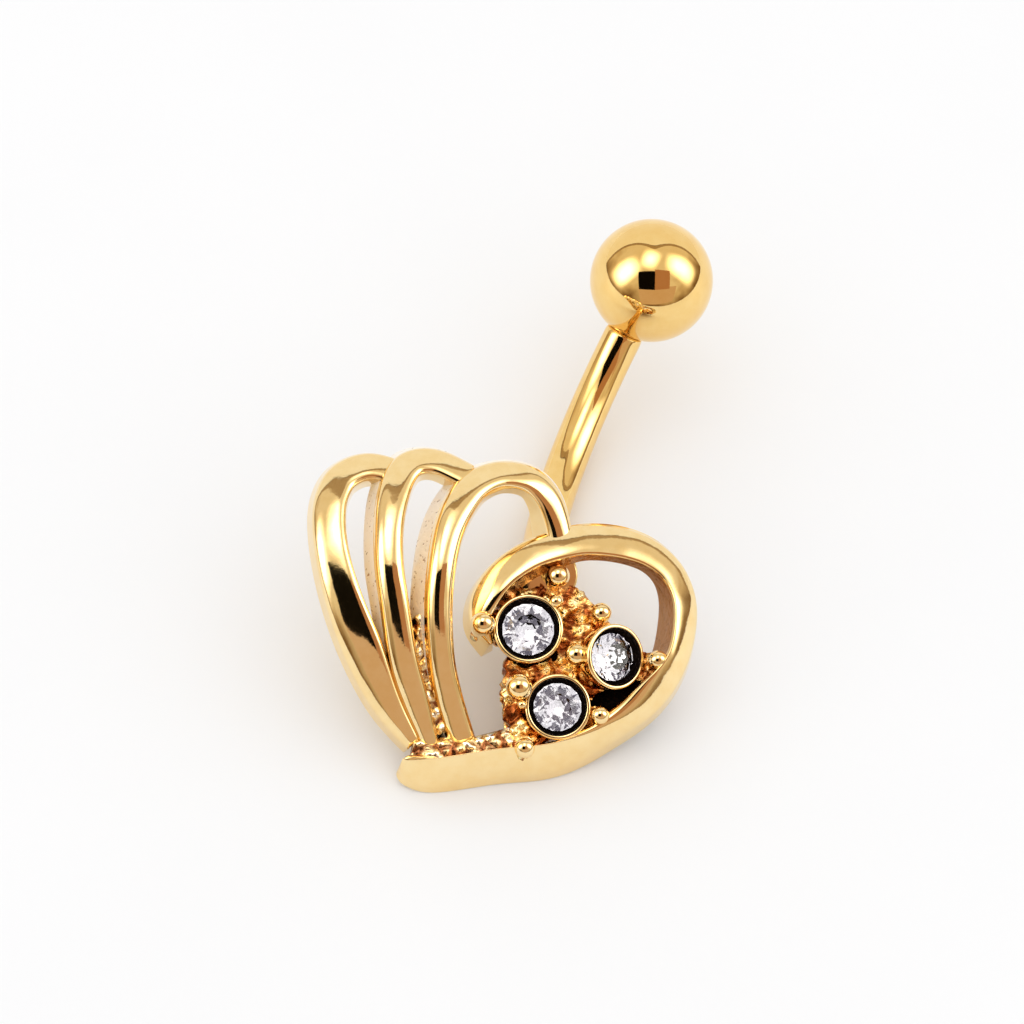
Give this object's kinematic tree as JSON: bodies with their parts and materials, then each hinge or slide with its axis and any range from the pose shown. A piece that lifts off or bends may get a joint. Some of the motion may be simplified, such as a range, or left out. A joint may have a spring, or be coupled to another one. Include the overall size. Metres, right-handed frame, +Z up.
{
  "type": "navel ring",
  "caption": "Curved navel bar with a screw-on ball and a cast openwork heart charm of fan strands and small set stones, lying as on a table.",
  "frame": {"origin": "middle of the part's box in plan, on the table that it lies on", "axes": "+Z up from the table; +Y along the table from the heart's tip to the ball at the bar's free end; +X to the right of that, past the side with the stones"},
  "size_m": [0.0156, 0.0262, 0.0078],
  "materials": {
    "pale_gold": "polished pale gold plate",
    "deep_gold": "polished yellow gold plate",
    "ball_gold": "polished yellow gold plate",
    "clear_stone": "cut clear crystal, foil backed"
  },
  "bodies": {
    "charm": {"heart_frame": "pale_gold", "curved_bar": "deep_gold", "stone_large": "clear_stone", "stone_right": "clear_stone", "stone_lower": "clear_stone"},
    "ball": {"top_ball": "ball_gold"}
  },
  "joints": [
    {"name": "ball_slide", "type": "slide", "parent": "charm", "child": "ball", "axis": [0.1414, 0.6808, 0.7187], "range_m": [0, 0.0024]}
  ]
}
